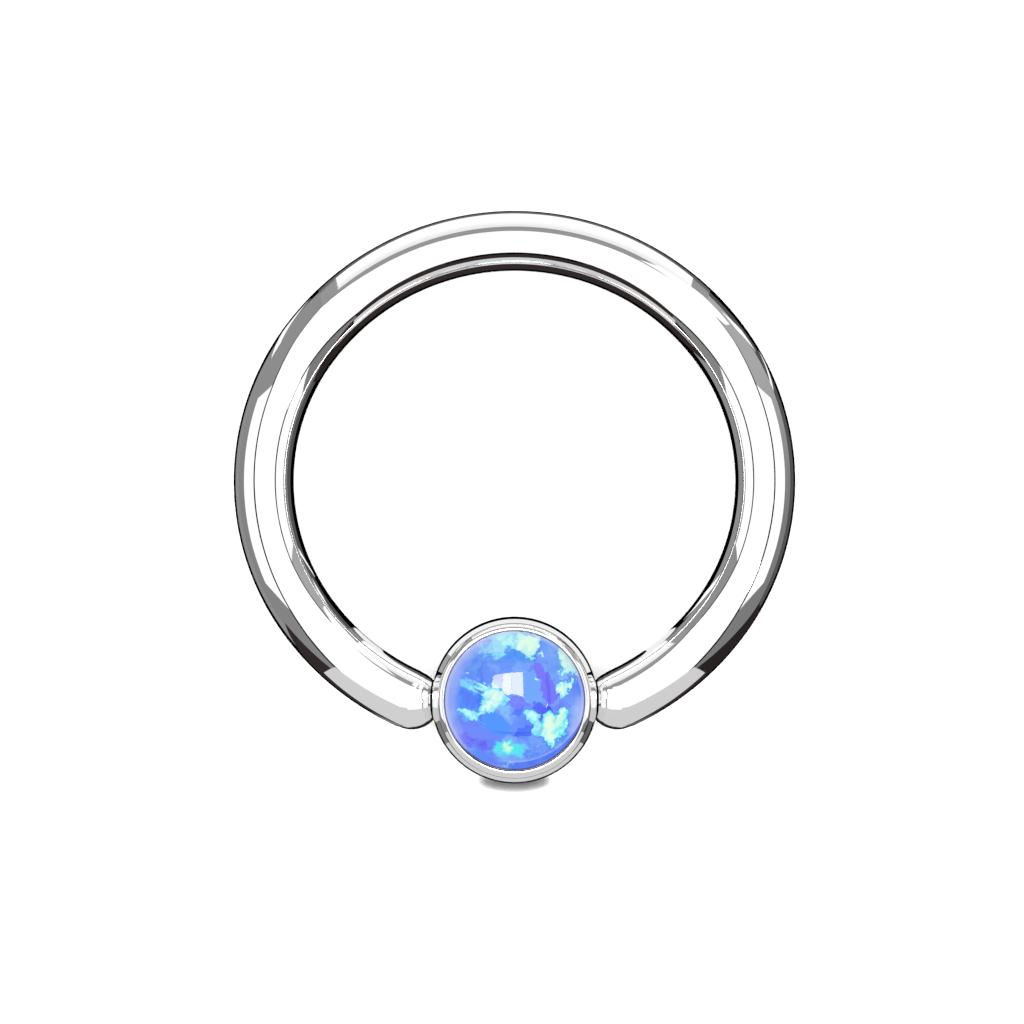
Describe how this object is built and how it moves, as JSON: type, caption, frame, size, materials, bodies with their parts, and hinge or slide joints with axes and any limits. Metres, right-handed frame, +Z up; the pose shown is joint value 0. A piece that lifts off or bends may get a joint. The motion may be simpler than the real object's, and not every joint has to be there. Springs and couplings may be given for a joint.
{
  "type": "captive bead ring",
  "caption": "Captive bead ring: a round steel wire ring, sprung round a flat cylindrical bead that is bezel-set with a blue opal cabochon.",
  "frame": {"origin": "centre of the bounding box at its lowest level, which is the table that the ring lies on", "axes": "+Z up from the table, out of the face of the stone; -Y from the middle of the ring towards the bead; +X along the line through the bead's two dimples"},
  "size_m": [0.0152, 0.0156, 0.0033],
  "materials": {
    "ring_steel": "mirror-polished surgical steel",
    "bead_steel": "turned and mirror-polished surgical steel",
    "opal": "glossy domed blue synthetic opal with cyan and violet flashes"
  },
  "bodies": {
    "ring": {"ring_wire": "ring_steel"},
    "bead": {"bead_setting": "bead_steel", "opal": "opal"}
  },
  "joints": [
    {"name": "bead_swivel", "type": "hinge", "parent": "ring", "child": "bead", "pos_m": [0, -0.00552, 0.00125], "axis": [1, 0, 0], "continuous": true}
  ]
}
